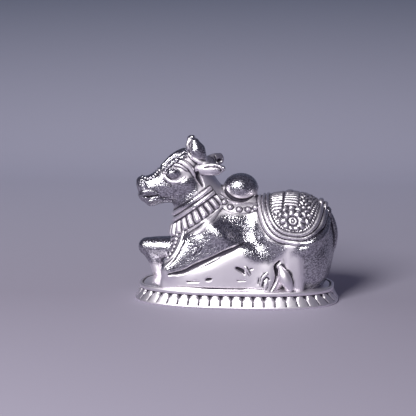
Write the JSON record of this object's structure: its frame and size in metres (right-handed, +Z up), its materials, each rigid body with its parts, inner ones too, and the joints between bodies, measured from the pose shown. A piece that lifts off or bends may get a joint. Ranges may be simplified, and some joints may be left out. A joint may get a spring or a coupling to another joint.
{
  "type": "nandi bull figure",
  "caption": "Small cast silver bull lying on a low oval lotus plinth, one foreleg raised, with collar, beads and saddle cloth; it stands by its own weight.",
  "frame": {"origin": "middle of the plinth's flat underside", "axes": "+Z up, -X the way the bull faces, -Y his left side, towards which his head turns"},
  "size_m": [0.0355, 0.0174, 0.0282],
  "materials": {
    "silver": "polished cast silver, oxidised dark in the recesses"
  },
  "bodies": {
    "root": {"nandi_bull_figure": "silver"}
  },
  "joints": []
}
